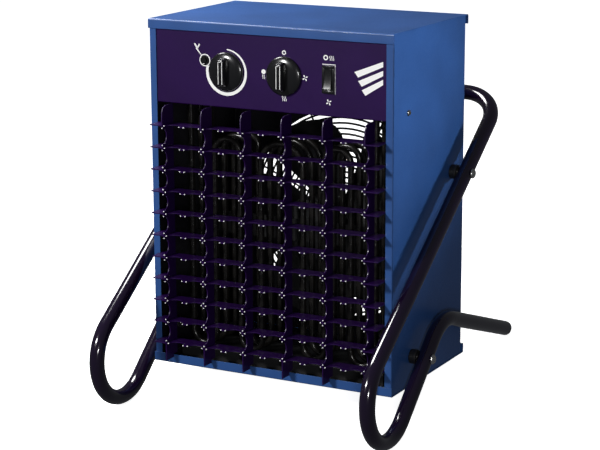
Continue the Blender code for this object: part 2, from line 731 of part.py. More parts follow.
def build_rocker():
    housing = box("rocker_housing", (ROCKER_X - 8.5 * MM, PANEL_FACE - GAP - 2.2 * MM, KNOB_HEIGHT - 17.5 * MM),
                  (ROCKER_X + 8.5 * MM, PANEL_FACE - GAP, KNOB_HEIGHT + 17.5 * MM))
    edge = housing.modifiers.new("edge", "BEVEL")
    edge.width = 0.7 * MM
    join(housing, box("rocker_barrel", (ROCKER_X - 6.5 * MM, PANEL_FACE - 1.5 * MM, KNOB_HEIGHT - 14.6 * MM),
                      (ROCKER_X + 6.5 * MM, PANEL_FACE + 24 * MM, KNOB_HEIGHT + 14.6 * MM)))
    cut(housing, box("rocker_well", (ROCKER_X - 5.2 * MM, PANEL_FACE - 9 * MM, KNOB_HEIGHT - 13.2 * MM),
                     (ROCKER_X + 5.2 * MM, PANEL_FACE + 12 * MM, KNOB_HEIGHT + 13.2 * MM)))
    keep(housing, PLASTIC)

    axis = pivot("rocker_axis", (ROCKER_X, PANEL_FACE + 3 * MM, KNOB_HEIGHT))
    tilt = math.radians(8)
    half, rise = 12.2 * MM, 7.2 * MM
    face = [(-half, -rise), (0, -rise + 1.6 * MM), (half, -rise)]
    outline = [*face, (half * 0.93, -1 * MM), (4 * MM, 5 * MM), (-4 * MM, 5 * MM), (-half * 0.93, -1 * MM)]
    bm = bmesh.new()
    rings = [[bm.verts.new((x, y, z)) for z, y in outline] for x in (-4.8 * MM, 4.8 * MM)]
    bm.faces.new(rings[0])
    bm.faces.new(reversed(rings[1]))
    for k in range(len(outline)):
        bm.faces.new((rings[0][k - 1], rings[0][k], rings[1][k], rings[1][k - 1]))
    bmesh.ops.rotate(bm, verts=bm.verts, cent=(0, 0, 0), matrix=Matrix.Rotation(-tilt, 3, "X"))
    keep(mesh_from("rocker_button", bm), PLASTIC, axis)


def build_reset():
    x, z = RESET_X, RESET_Z
    place = Matrix.Translation((x, PANEL_FACE - GAP, z)) @ FACING_FRONT
    ring = [(6.3 * MM, 1.0 * MM), (6.3 * MM, 0), (3.9 * MM, 0), (3.9 * MM, 2.0 * MM), (5.2 * MM, 2.0 * MM),
            (6.3 * MM, 1.0 * MM)]
    keep(turned("reset_collar", ring, 20, place), PLASTIC)
    axis = pivot("reset_axis", (x, PANEL_FACE, z))
    keep(rod("reset_button", (0, -3.6 * MM, 0), (0, 9 * MM, 0), 3.5 * MM, 20), PLASTIC, axis)
    front = PANEL_FACE + SHEET + GAP
    body = box("overheat_cutout", (x - 13 * MM, front, z - 11 * MM), (x + 7 * MM, front + 26 * MM, z + 11 * MM))
    edge = body.modifiers.new("edge", "BEVEL")
    edge.width = 1 * MM
    cut(body, rod("cutout_bore", (x, front - 5 * MM, z), (x, PANEL_FACE + 14 * MM, z), 4 * MM, 16))
    keep(body, BEIGE)


# ---------------------------------------------------------------- wiring compartment and inlet

def build_compartment():
    floor = FLOOR_BOTTOM + SHEET + GAP
    block = box("terminal_block", (-40 * MM, 150 * MM, floor), (40 * MM, 172 * MM, floor + 22 * MM))
    bm = bmesh.new()
    for k in range(6):
        x = (-34 + 13.6 * k) * MM
        add_rod(bm, (x, 161 * MM, floor + 12 * MM), (x, 161 * MM, floor + 30 * MM), 3.6 * MM, 8)
    cut(block, mesh_from("terminal_wells", bm))
    keep(block, BEIGE)
    contactor = box("contactor", (70 * MM, 120 * MM, floor), (115 * MM, 186 * MM, floor + 58 * MM))
    edge = contactor.modifiers.new("edge", "BEVEL")
    edge.width = 2 * MM
    keep(contactor, BEIGE)


def build_inlet():
    place = Matrix.Translation((0, INLET_BACK, INLET_Z)) @ FACING_BACK
    radius, depth = INLET_RADIUS, INLET_DEPTH
    flange = [(0, 4 * MM), (36 * MM, 4 * MM), (37 * MM, 3 * MM), (37 * MM, 0), (0, 0)]
    housing = turned("inlet_housing", flange, 32, place)
    barrel = rod("inlet_barrel", (0, INLET_BACK + 2 * MM, INLET_Z), (0, INLET_BACK + depth, INLET_Z), radius, 32)
    join(housing, barrel)
    lid_back = INLET_BACK + depth + GAP
    hinge_z = INLET_Z + radius + 5 * MM
    hinge_y = lid_back + 2.5 * MM
    for side in (-1, 1):
        lug = box(f"inlet_lug_{side}", (side * 9 * MM - 2.5 * MM, INLET_BACK + 12 * MM, INLET_Z + radius - 4 * MM),
                  (side * 9 * MM + 2.5 * MM, hinge_y + 4 * MM, hinge_z + 4 * MM))
        join(housing, lug)
    cut(housing, rod("inlet_cavity", (0, INLET_BACK + 8 * MM, INLET_Z),
                     (0, INLET_BACK + depth + 9 * MM, INLET_Z), radius - 3.5 * MM, 32))
    cut(housing, rod("inlet_lug_bore", (-20 * MM, hinge_y, hinge_z), (20 * MM, hinge_y, hinge_z),
                     1.5 * MM + GAP, 12))
    bm = bmesh.new()
    pins = []
    for k in range(5):
        angle = math.radians(90 + 72 * k)
        pins.append((13 * MM * math.cos(angle), INLET_Z + 13 * MM * math.sin(angle)))
    for x, z in pins:
        add_rod(bm, (x, INLET_BACK - 9 * MM, z), (x, INLET_BACK + 14 * MM, z), 2.5 * MM + GAP, 12)
    cut(housing, mesh_from("inlet_pin_holes", bm))
    keep(housing, RED_PLASTIC)
    for k, (x, z) in enumerate(pins, 1):
        pin = rod(f"inlet_pin_{k}", (x, INLET_BACK - 6 * MM, z), (x, INLET_BACK + 26 * MM, z), 2.5 * MM, 12)
        keep(pin, BRASS)

    axis = pivot("inlet_lid_axis", (0, hinge_y, hinge_z))
    down = INLET_Z - hinge_z
    lid = rod("inlet_lid", (0, -2.2 * MM, down), (0, 2.6 * MM, down), radius + 1.5 * MM, 32)
    tongue = box("lid_tongue", (-6 * MM, -2.2 * MM, down + radius - 6 * MM), (6 * MM, 2.6 * MM, 3.4 * MM))
    bm = bmesh.new()
    for side in (-1, 1):
        add_box(bm, (side * 9 * MM - 3 * MM, -9 * MM, down + radius - 5 * MM),
                (side * 9 * MM + 3 * MM, 9 * MM, 9 * MM))
    boolean(lid, as_cutter(mesh_from("lid_notches", bm), axis), "DIFFERENCE")
    boolean(lid, as_cutter(tongue, axis), "UNION")
    bore = rod("lid_bore", (-9 * MM, 0, 0), (9 * MM, 0, 0), 1.5 * MM + GAP, 12)
    boolean(lid, as_cutter(bore, axis), "DIFFERENCE")
    keep(lid, RED_PLASTIC, axis)
    keep(rod("inlet_hinge_pin", (-13 * MM, hinge_y, hinge_z), (13 * MM, hinge_y, hinge_z), 1.5 * MM, 12), STEEL)


def build_side_screws():
    for word, side in (("left", -1), ("right", 1)):
        place = side_screw_place(side)
        out = Vector((side, 0, 0))
        screw = rod(f"{word}_side_screw", place - out * 9 * MM, place + out * 1 * MM, 2 * MM, 10)
        head = rod(screw.name + "_head", place + out * GAP, place + out * 2.4 * MM, 4 * MM, 16, 2.6 * MM)
        join(screw, head)
        keep(screw, STEEL)


# ---------------------------------------------------------------- assembly

def world_corners():
    """Lowest and highest corner of all the parts as they stand."""
    bpy.context.view_layer.update()
    graph = bpy.context.evaluated_depsgraph_get()
    clouds = []
    for obj in parts.objects:
        if obj.type == "EMPTY":
            continue
        shown = obj.evaluated_get(graph)
        mesh = shown.to_mesh()
        cloud = np.empty(len(mesh.vertices) * 3, np.float32)
        mesh.vertices.foreach_get("co", cloud)
        shown.to_mesh_clear()
        place = np.array(obj.matrix_world)
        clouds.append(cloud.reshape(-1, 3) @ place[:3, :3].T + place[:3, 3])
    cloud = np.concatenate(clouds)
    return cloud.min(axis=0), cloud.max(axis=0)


def stand_on_floor():
    """Leans the heater back until its loops and rear legs touch the floor, and centres it."""
    heater.rotation_euler.x = -lean_angle()
    low, high = world_corners()
    heater.location = (-(low[0] + high[0]) / 2, -(low[1] + high[1]) / 2, -low[2])


build_covers()
build_side_panels()
build_rear_panels()
build_control_panel()
build_compartment_floor()
build_grille()
build_guard()
build_fan()
build_elements()
build_frame_tubes()
build_frame_fixings()
build_rotary("thermostat", THERMOSTAT_X, (34 * MM, 40 * MM, 26 * MM))
build_rotary("selector", SELECTOR_X, (42 * MM, 42 * MM, 38 * MM))
build_rocker()
build_reset()
build_compartment()
build_inlet()
build_side_screws()
stand_on_floor()
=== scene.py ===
"""Looks of the portable electric fan heater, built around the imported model.

Pieces are drawn in the heater's own coordinates (X to the right, Y to the back, Z up, front flanges
at Y = 0, underside at Z = 0) and then placed by HEATER, the matrix that stands it on the floor.
"""

import json
import math

import bmesh
import bpy
from mathutils import Matrix, Vector


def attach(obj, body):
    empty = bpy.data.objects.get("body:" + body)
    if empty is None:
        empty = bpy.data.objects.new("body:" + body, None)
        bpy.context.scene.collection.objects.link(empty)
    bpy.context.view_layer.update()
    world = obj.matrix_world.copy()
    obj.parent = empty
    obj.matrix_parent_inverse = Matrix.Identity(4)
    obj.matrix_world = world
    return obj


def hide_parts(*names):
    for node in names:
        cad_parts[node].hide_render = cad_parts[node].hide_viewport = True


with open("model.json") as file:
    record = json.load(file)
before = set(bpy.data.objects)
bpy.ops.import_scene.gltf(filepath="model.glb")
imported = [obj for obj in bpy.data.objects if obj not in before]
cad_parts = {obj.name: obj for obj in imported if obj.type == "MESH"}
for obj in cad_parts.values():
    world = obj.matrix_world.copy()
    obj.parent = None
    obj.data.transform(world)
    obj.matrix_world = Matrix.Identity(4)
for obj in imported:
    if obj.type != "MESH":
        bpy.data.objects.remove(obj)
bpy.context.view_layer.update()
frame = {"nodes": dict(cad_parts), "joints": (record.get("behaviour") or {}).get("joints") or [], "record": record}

MM = 0.001
TAU = math.tau
QUARTER = math.pi / 2

# ---------------------------------------------------------------- places and sizes of the heater

CASE_HEIGHT = 460 * MM
SIDE_HALF = 175 * MM
SIDE_DEPTH = 217.5 * MM
SHEET = 1.2 * MM
GAP = 0.3 * MM  # between neighbouring pieces
PANEL_FACE = 1.5 * MM
PANEL_BOTTOM = 351.6 * MM
KNOB_HEIGHT = 398 * MM
THERMOSTAT_X, SELECTOR_X, ROCKER_X = -61 * MM, 22.6 * MM, 85.5 * MM
RESET_X, RESET_Z = -92.5 * MM, 410.8 * MM
SCREW_Y, SCREW_Z = 44.4 * MM, 357 * MM
INLET_Y, INLET_Z = SIDE_DEPTH + 1.8 * MM, 404 * MM

MODULE = 29.2 * MM
FIN_SHEET = 1.3 * MM
FIN_FRONT, FIN_BACK, FIN_END = -20 * MM, 7 * MM, 164.5 * MM
STRIP_COUNT, UPRIGHT_COUNT, NOTCHES_ACROSS = 11, 6, 10
LOWEST_STRIP = 32.6 * MM
UPRIGHT_LOW, UPRIGHT_HIGH = 9 * MM, PANEL_BOTTOM - 1.5 * MM
SILL_TOP, SILL_FRONT = 13.7 * MM, -2.1 * MM  # the uprights step over the sill
NOTCH_RADIUS, NOTCH_STEPS = 10.8 * MM, 14
# how far the painted corner highlights sit behind the fins' front edge
GLINT_INSET = 0.55 * MM

FAN_HEIGHT = 176 * MM
FAN_RADIUS = 140 * MM
BLADE_COUNT, BLADE_START, BLADE_SWEEP = 5, math.radians(29), math.radians(14)
HUB_RADIUS = 32 * MM
HUB_BACK = 186 * MM
MOTOR_FRONT = 102.5 * MM
MOTOR_LENGTH = 52 * MM
GUARD_BACK = 220.6 * MM  # middle of the guard's wires
GUARD_REACH = 155 * MM
GUARD_FIRST, GUARD_PITCH = 27 * MM, 7.6 * MM
RING_WIRE, SPOKE_WIRE = 1.5 * MM, 1.4 * MM  # radii

ELEMENT_RADIUS = 4.25 * MM
ELEMENT_LEGS = [-135, -99.75, -62.25, -30.75, 30.75, 62.25, 99.75, 135]  # in mm
ELEMENT_PLANES = [35, 60, 85]  # in mm
ELEMENT_TOP, ELEMENT_BOTTOM, ELEMENT_END = 304.5 * MM, 24 * MM, 372 * MM

TUBE_RADIUS = 10 * MM
TUBE_X = 195.2 * MM
LOOP_CENTRE = Vector((-51.5 * MM, 20.8 * MM))
LOOP_RADIUS = 58.8 * MM
UPPER_ANGLE, LOWER_ANGLE, REAR_ANGLE = math.radians(36), math.radians(42), math.radians(-18.2)
LOWER_LENGTH, REAR_LENGTH, REAR_RADIUS = 157.7 * MM, 231 * MM, 60 * MM
HANDLE_REACH, HANDLE_RADIUS = 469.8 * MM, 52.2 * MM
UPPER_BOLT, LOWER_BOLT = 324 * MM, 93 * MM  # from the front loop, along the tube

SMOOTH_ANGLE = math.radians(35)  # sharper edges stay crisp
FOLD_ANGLE, FOLD_EDGE = math.radians(40), 0.25 * MM  # sheet edges sharper than this are rounded
WELD_REACH = 1e-6
NOISE_LOW, NOISE_HIGH = 0.3, 0.7  # where most of a noise texture's values lie
PAINTED_INTERIOR_SHADE = (0.006, 0.005, 0.009, 1)  # painted shade: a near-black colour for the casing's inner faces, in place of the shade inside it


def heater_matrix():
    """From the heater's own coordinates to the floor's, read from the fan's joint."""
    joint = next(j for j in frame["joints"] if j["name"] == "fan_spin")
    back = Vector(joint["axis"]).normalized()
    right = Vector((1, 0, 0))
    up = right.cross(back)
    turn = Matrix((right, back, up)).transposed()
    place = Vector(joint["pos_m"]) - turn @ Vector((0, HUB_BACK, FAN_HEIGHT))
    return Matrix.Translation(place) @ turn.to_4x4()


HEATER = heater_matrix()


# ---------------------------------------------------------------- materials

def bare_material(name):
    made = bpy.data.materials.new(name)
    made.use_nodes = True
    return made, made.node_tree.nodes, made.node_tree.links


def noise(nodes, links, scale, detail):
    """Noise in the object's own coordinates."""
    made = nodes.new("ShaderNodeTexNoise")
    made.inputs["Scale"].default_value = scale
    made.inputs["Detail"].default_value = detail
    links.new(nodes.new("ShaderNodeTexCoord").outputs["Object"], made.inputs["Vector"])
    return made.outputs["Fac"]


def ranged(nodes, links, value, low, high):
    """A noise value spread over low to high."""
    made = nodes.new("ShaderNodeMapRange")
    made.inputs["From Min"].default_value = NOISE_LOW
    made.inputs["From Max"].default_value = NOISE_HIGH
    made.inputs["To Min"].default_value = low
    made.inputs["To Max"].default_value = high
    links.new(value, made.inputs["Value"])
    return made.outputs["Result"]


def interior_shade_mask(nodes, links):
    """1 inside a box half a sheet within the casing, where its inner faces lie, and 0 outside: where the painted
    shade goes.
    """
    back_to_heater = HEATER.inverted()
    place = nodes.new("ShaderNodeMapping")
    place.inputs["Location"].default_value = back_to_heater.translation
    place.inputs["Rotation"].default_value = back_to_heater.to_euler()
    links.new(nodes.new("ShaderNodeTexCoord").outputs["Object"], place.inputs["Vector"])
    parts = nodes.new("ShaderNodeSeparateXYZ")
    links.new(place.outputs["Vector"], parts.inputs["Vector"])
    skin = SHEET / 2
    rear = SIDE_DEPTH + GAP + SHEET
    spans = {"X": (-SIDE_HALF, SIDE_HALF), "Y": (0, rear), "Z": (0, CASE_HEIGHT)}
    mask = None
    for axis, (low, high) in spans.items():
        within = nodes.new("ShaderNodeMath")
        within.operation = "COMPARE"
        within.inputs[1].default_value = (low + high) / 2
        within.inputs[2].default_value = (high - low) / 2 - skin
        links.new(parts.outputs[axis], within.inputs[0])
        if mask is None:
            mask = within.outputs["Value"]
            continue
        both = nodes.new("ShaderNodeMath")
        both.operation = "MULTIPLY"
        links.new(mask, both.inputs[0])
        links.new(within.outputs["Value"], both.inputs[1])
        mask = both.outputs["Value"]
    return mask


def surface(name, colour, roughness, metallic=0.0, coat=0.0, spread=0.12, mottle=18.0,
            grain=900.0, bump=0.06, specular=0.5, painted_shade_within=False):
    """A material whose colour, gloss and relief vary a little, as paint and plastic do. It can also paint shade,
    near black, on the casing's inner faces.
    """
    made, nodes, links = bare_material(name)
    shader = nodes["Principled BSDF"]
    shader.inputs["Metallic"].default_value = metallic
    shader.inputs["Coat Weight"].default_value = coat
    shader.inputs["Coat Roughness"].default_value = 0.08
    shader.inputs["Specular IOR Level"].default_value = specular

    ramp = nodes.new("ShaderNodeValToRGB")
    for stop, position, share in zip(ramp.color_ramp.elements, (NOISE_LOW, NOISE_HIGH),
                                     (1 - spread, 1 + spread)):
        stop.position = position
        stop.color = (*(c * share for c in colour), 1)
    links.new(noise(nodes, links, mottle, 5.0), ramp.inputs["Fac"])
    painted = ramp.outputs["Color"]
    # painted shade: near black on the casing's inner faces, in place of the shade inside it
    if painted_shade_within:
        mixed = nodes.new("ShaderNodeMixRGB")
        mixed.inputs["Color2"].default_value = PAINTED_INTERIOR_SHADE
        links.new(interior_shade_mask(nodes, links), mixed.inputs["Fac"])
        links.new(painted, mixed.inputs["Color1"])
        painted = mixed.outputs["Color"]
    links.new(painted, shader.inputs["Base Color"])

    fine = noise(nodes, links, grain, 3.0)
    gloss = ranged(nodes, links, fine, roughness * 0.85, roughness * 1.2)
    links.new(gloss, shader.inputs["Roughness"])
    relief = nodes.new("ShaderNodeBump")
    relief.inputs["Strength"].default_value = bump
    relief.inputs["Distance"].default_value = 0.0004
    links.new(fine, relief.inputs["Height"])
    links.new(relief.outputs["Normal"], shader.inputs["Normal"])
    return made


SURFACES = {
    "blue_enamel": dict(colour=(0.024, 0.080, 0.26), roughness=0.40, coat=0.12, spread=0.10,
                        bump=0.10, specular=0.4, painted_shade_within=True),
    "navy_enamel": dict(colour=(0.017, 0.002, 0.052), roughness=0.36, coat=0.08, spread=0.10,
                        specular=0.3),
    "frame_enamel": dict(colour=(0.007, 0.003, 0.014), roughness=0.14, coat=0.6, bump=0.03),
    "guard_enamel": dict(colour=(0.010, 0.010, 0.012), roughness=0.35),
    "motor_enamel": dict(colour=(0.008, 0.008, 0.009), roughness=0.55),
    "control_plastic": dict(colour=(0.006, 0.006, 0.007), roughness=0.22, coat=0.5, grain=1500.0),
    "spacer_plastic": dict(colour=(0.008, 0.008, 0.009), roughness=0.5),
    "inlet_plastic": dict(colour=(0.48, 0.03, 0.02), roughness=0.42, grain=1400.0),
    "contact_brass": dict(colour=(0.72, 0.50, 0.20), roughness=0.25, metallic=1.0),
    "element_sheath": dict(colour=(0.011, 0.010, 0.009), roughness=0.24, metallic=0.25,
                           mottle=60.0, spread=0.35),
    "impeller_enamel": dict(colour=(0.006, 0.006, 0.007), roughness=0.5),
    "switch_plastic": dict(colour=(0.55, 0.47, 0.35), roughness=0.5),
    "contactor_plastic": dict(colour=(0.70, 0.69, 0.65), roughness=0.45),
    "galvanised_sheet": dict(colour=(0.42, 0.43, 0.45), roughness=0.42, metallic=1.0,
                             mottle=140.0, spread=0.25),
    "zinc_plated_steel": dict(colour=(0.66, 0.66, 0.64), roughness=0.25, metallic=1.0),
    # white for the printed marks, and for the painted highlights on the knobs' bars
    "white_print_and_highlight": dict(colour=(0.95, 0.95, 0.93), roughness=0.45, spread=0.02),
    # painted highlight: the white of the glints on the grille's tooth corners
    "corner_glint_white": dict(colour=(0.95, 0.95, 0.97), roughness=0.20, spread=0.03),
}
LOOKS = {name: surface(name, **values) for name, values in SURFACES.items()}


# ---------------------------------------------------------------- shapes

def look(obj, slot):
    obj.data.materials.clear()
    obj.data.materials.append(LOOKS[slot])


def piece(name, bm, slot, body="heater_body", nodes=()):
    """A finished mesh in the heater's coordinates, placed, painted, and riding on its body."""
    bmesh.ops.recalc_face_normals(bm, faces=bm.faces)
    mesh = bpy.data.meshes.new(name)
    bm.to_mesh(mesh)
    bm.free()
    mesh.transform(HEATER)
    obj = bpy.data.objects.new(name, mesh)
    bpy.context.scene.collection.objects.link(obj)
    mesh.shade_smooth()
    mesh.set_sharp_from_angle(angle=SMOOTH_ANGLE)
    look(obj, slot)
    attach(obj, body)
    if nodes:
        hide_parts(*nodes)
    return obj


def soften(bm, width, segments):
    """Rounds the edges that are sharper than 30 degrees."""
    sharp = [e for e in bm.edges if len(e.link_faces) == 2
             and e.calc_face_angle(0) > math.radians(30)]
    bmesh.ops.bevel(bm, geom=sharp, offset=width, segments=segments, affect="EDGES", profile=0.5)


def in_mm(points):
    return [(a * MM, b * MM) for a, b in points]


def add_block(bm, low, high):
    low, high = Vector(low), Vector(high)
    place = Matrix.Translation((low + high) / 2) @ Matrix.Diagonal((*(high - low), 1))
    bmesh.ops.create_cube(bm, size=1, matrix=place)


def add_turned(bm, profile, place, segments):
    """A body of revolution about its own Z axis, from a closed or axis-to-axis profile."""
    rings = []
    for radius, height in profile:
        if radius < 1e-6:
            rings.append([bm.verts.new(place @ Vector((0, 0, height)))])
            continue
        rings.append([bm.verts.new(place @ Vector((radius * math.cos(TAU * k / segments),
                                                   radius * math.sin(TAU * k / segments), height)))
                      for k in range(segments)])
    closed = len(rings[0]) > 1
    pairs = list(zip(rings, rings[1:] + rings[:1])) if closed else list(zip(rings, rings[1:]))
    for low, high in pairs:
        for k in range(segments):
            ring = [low[k - 1 if len(low) > 1 else 0], low[k if len(low) > 1 else 0],
                    high[k if len(high) > 1 else 0], high[k - 1 if len(high) > 1 else 0]]
            corners = list(dict.fromkeys(ring))
            if len(corners) > 2:
                bm.faces.new(corners)


def facing(place, towards):
    """A matrix whose Z axis points along towards, at place."""
    turn = Vector(towards).to_track_quat("Z", "Y").to_matrix().to_4x4()
    return Matrix.Translation(place) @ turn


def add_swept(bm, points, radius, sides, closed=False):
    """A round bar along points, with flat-capped ends unless it is a ring."""
    points = [Vector(p) for p in points]
    count = len(points)
    tangents = []
    for k in range(count):
        before = points[k - 1] if closed or k > 0 else points[k]
        after = points[(k + 1) % count] if closed or k < count - 1 else points[k]
        tangents.append((after - before).normalized())
    seed = Vector((1, 0, 0)) if abs(tangents[0].x) < 0.8 else Vector((0, 0, 1))
    normal = (seed - tangents[0] * seed.dot(tangents[0])).normalized()
    rings = []
    for point, tangent in zip(points, tangents):
        normal = (normal - tangent * normal.dot(tangent)).normalized()
        side = tangent.cross(normal)
        rings.append([bm.verts.new(point + (normal * math.cos(TAU * j / sides)
                                            + side * math.sin(TAU * j / sides)) * radius)
                      for j in range(sides)])
    for k in range(count if closed else count - 1):
        low, high = rings[k], rings[(k + 1) % count]
        for j in range(sides):
            bm.faces.new((low[j - 1], low[j], high[j], high[j - 1]))
    if not closed:
        bm.faces.new(rings[0])
        bm.faces.new(rings[-1])


def add_plate(bm, outline, thickness, to_space):
    """A flat solid from an outline; to_space turns (a, b, depth) into a point."""
    rings = [[bm.verts.new(to_space(a, b, t)) for a, b in outline]
             for t in (-thickness / 2, thickness / 2)]
    bm.faces.new(rings[0])
    bm.faces.new(list(reversed(rings[1])))
    for k in range(len(outline)):
        bm.faces.new((rings[0][k - 1], rings[0][k], rings[1][k], rings[1][k - 1]))


def arc(centre, radius, start, end, steps):
    return [centre + Vector((math.cos(a), math.sin(a))) * radius
            for a in (start + (end - start) * k / steps for k in range(steps + 1))]


# ---------------------------------------------------------------- casing nodes kept from the frame

def paint_frame_nodes():
    """Every CAD node takes its slot's look. Folded sheets get rounded edges and even shading."""
    slots = {s["node"]: s["material_slot"] for s in frame["record"]["subparts"]}
    sheets = {"top_cover", "bottom_cover", "left_side_panel", "right_side_panel",
              "control_panel", "rear_panel", "rear_service_cover"}
    for name, node in frame["nodes"].items():
        look(node, slots[name])
        node.data.shade_smooth()
        weld = node.modifiers.new("weld", "WELD")
        weld.merge_threshold = WELD_REACH
        if name in sheets:
            edge = node.modifiers.new("edge", "BEVEL")
            edge.width = FOLD_EDGE
            edge.segments = 2
            edge.limit_method = "ANGLE"
            edge.angle_limit = FOLD_ANGLE
            even = node.modifiers.new("even", "WEIGHTED_NORMAL")
            even.mode = "FACE_AREA"
            even.weight = 100
        else:
            split = node.modifiers.new("split", "EDGE_SPLIT")
            split.split_angle = SMOOTH_ANGLE


# ---------------------------------------------------------------- outlet grille

def toothed(low, high, centres):
    """The front edge of a fin: half-round notches between pointed teeth."""
    points = [(low, FIN_FRONT)]
    for centre in centres:
        for step in range(NOTCH_STEPS + 1):
            angle = math.pi * step / NOTCH_STEPS
            points.append((centre - NOTCH_RADIUS * math.cos(angle),
                           FIN_FRONT + NOTCH_RADIUS * math.sin(angle)))
    points.append((high, FIN_FRONT))
    return points


def grille():
    rows = [LOWEST_STRIP + MODULE * k for k in range(STRIP_COUNT)]
    columns = [MODULE * 2 * (k - (UPRIGHT_COUNT - 1) / 2) for k in range(UPRIGHT_COUNT)]
    half = NOTCHES_ACROSS // 2
    notches_across = [MODULE * (k + 0.5) for k in range(-half, half)]
    notches_up = [(a + b) / 2 for a, b in zip(rows, rows[1:])]
    bm = bmesh.new()
    for z in rows:
        outline = toothed(-FIN_END, FIN_END, notches_across)
        outline += [(FIN_END, FIN_BACK), (-FIN_END, FIN_BACK)]
        add_plate(bm, outline, FIN_SHEET, lambda x, y, t, z=z: Vector((x, y, z + t)))
    for x in columns:
        outline = toothed(UPRIGHT_LOW, UPRIGHT_HIGH - 9 * MM, notches_up)
        outline += [(UPRIGHT_HIGH - 2.6 * MM, FIN_FRONT + 2.6 * MM),
                    (UPRIGHT_HIGH, FIN_FRONT + 9 * MM), (UPRIGHT_HIGH, FIN_BACK),
                    (SILL_TOP, FIN_BACK), (SILL_TOP, SILL_FRONT), (UPRIGHT_LOW, SILL_FRONT)]
        add_plate(bm, outline, FIN_SHEET, lambda z, y, t, x=x: Vector((x + t, y, z)))
    piece("grille_fins", bm, "navy_enamel", nodes=["outlet_grille"])

    # painted highlights: small white beads at the tooth corners stand in for the glints on the fins' edges
    bm = bmesh.new()
    glint_profile = in_mm([(0, 0.9), (0.7, 0.65), (1.1, 0), (0.7, -0.65), (0, -0.9)])
    y, reach = FIN_FRONT + GLINT_INSET, NOTCH_RADIUS + GLINT_INSET
    corners = [(centre + side * reach, y, z)
               for z in rows for centre in notches_across for side in (-1, 1)]
    corners += [(x, y, centre + side * reach)
                for x in columns for centre in notches_up for side in (-1, 1)]
    for corner in corners:
        add_turned(bm, glint_profile, Matrix.Translation(corner), 10)
    piece("grille_corner_glints", bm, "corner_glint_white")


# ---------------------------------------------------------------- air path

def outwards(angle):
    """The direction away from the fan's axis, at an angle from the heater's right."""
    return Vector((math.cos(angle), 0, math.sin(angle)))


def guard():
    """Concentric rings and eight spokes, with a plain disc in the middle and four fixing pads."""
    bm = bmesh.new()
    centre = Vector((0, GUARD_BACK, FAN_HEIGHT))
    rings = int((GUARD_REACH - GUARD_FIRST) / GUARD_PITCH) + 1
    for k in range(rings):
        radius = GUARD_FIRST + GUARD_PITCH * k
        steps = 40 + 3 * k
        points = [centre + outwards(TAU * i / steps) * radius for i in range(steps)]
        add_swept(bm, points, RING_WIRE, 8, closed=True)
    for k in range(8):
        way = outwards(TAU * (k + 0.5) / 8)
        add_swept(bm, [centre + way * 20 * MM, centre + way * GUARD_REACH], SPOKE_WIRE, 8)
    disc = in_mm([(0, 1.4), (24, 1.4), (25, 0.6), (25, -1.2), (0, -1.2)])
    add_turned(bm, disc, facing(centre, (0, 1, 0)), 48)
    pad = in_mm([(0, 0.6), (5, 0.6), (5, -1.2), (0, -1.2)])
    for k in range(4):
        place = centre + outwards(TAU * (k + 0.5) / 4) * (GUARD_REACH + 4 * MM)
        add_turned(bm, pad, facing(place, (0, 1, 0)), 20)
    piece("guard_rings", bm, "guard_enamel", nodes=["rear_guard"])


def blade_rows(start, out, across):
    """Points of one blade's middle surface: rows from the hub outwards, each from edge to edge."""
    centre = Vector((0, HUB_BACK, FAN_HEIGHT))
    rows = []
    for i in range(out + 1):
        share = i / out
        radius = (HUB_RADIUS - 4 * MM) * (1 - share) + (FAN_RADIUS - 1 * MM) * share
        corner_cut = 6 * max(0, share - 0.9) / 0.1  # the last tenth narrows faster
        half_angle = math.radians(39 - 10 * share - corner_cut)
        half_rise = (15 - 6 * share) * MM  # flatter towards the tip
        row = []
        for j in range(across + 1):
            t = 2 * j / across - 1
            angle = start + half_angle * t + BLADE_SWEEP * share ** 2
            y = -11 * MM + half_rise * (t + 0.25 * (t * t - 1))
            row.append(centre + Vector((radius * math.cos(angle), y, radius * math.sin(angle))))
        rows.append(row)
    return rows


def impeller():
    bm = bmesh.new()
    out, across = 14, 10
    thick = Vector((0, 0.8 * MM, 0))
    for blade in range(BLADE_COUNT):
        rows = blade_rows(BLADE_START + TAU * blade / BLADE_COUNT, out, across)
        front, back = [[[bm.verts.new(p + thick * s) for p in row] for row in rows]
                       for s in (-1, 1)]
        for grid, order in ((front, 1), (back, -1)):
            for i in range(out):
                for j in range(across):
                    face = [grid[i][j], grid[i][j + 1], grid[i + 1][j + 1], grid[i + 1][j]]
                    bm.faces.new(face[::order])
        rim = [(i, 0) for i in range(out)] + [(out, j) for j in range(across)]
        rim += [(i, across) for i in range(out, 0, -1)] + [(0, j) for j in range(across, 0, -1)]
        for (a, b), (c, d) in zip(rim, rim[1:] + rim[:1]):
            bm.faces.new((front[a][b], front[c][d], back[c][d], back[a][b]))
    hub = in_mm([(4.5, 0), (29, 0)])
    hub += [(HUB_RADIUS, -3 * MM), (HUB_RADIUS, -20 * MM)] + in_mm([(30, -22), (4.5, -22)])
    add_turned(bm, hub, facing((0, HUB_BACK, FAN_HEIGHT), (0, 1, 0)), 48)
    piece("impeller_blades", bm, "impeller_enamel", "fan_rotor", ["fan_impeller"])


def motor():
    bm = bmesh.new()
    place = facing((0, MOTOR_FRONT, FAN_HEIGHT), (0, 1, 0))
    profile = in_mm([(0, 0), (38, 0), (41, 2)])
    for rib in range(9):
        z = (5 + 4 * rib) * MM
        profile += [(42 * MM, z), (42 * MM, z + 2.2 * MM),
                    (39.5 * MM, z + 2.6 * MM), (39.5 * MM, z + 3.6 * MM)]
    profile += in_mm([(42, 42), (36, 44), (36, 51)])
    profile += [(34 * MM, MOTOR_LENGTH), (5 * MM, MOTOR_LENGTH), (5 * MM, 14 * MM), (0, 14 * MM)]
    add_turned(bm, profile, place, 64)
    piece("motor_case", bm, "motor_enamel", nodes=["fan_motor"])


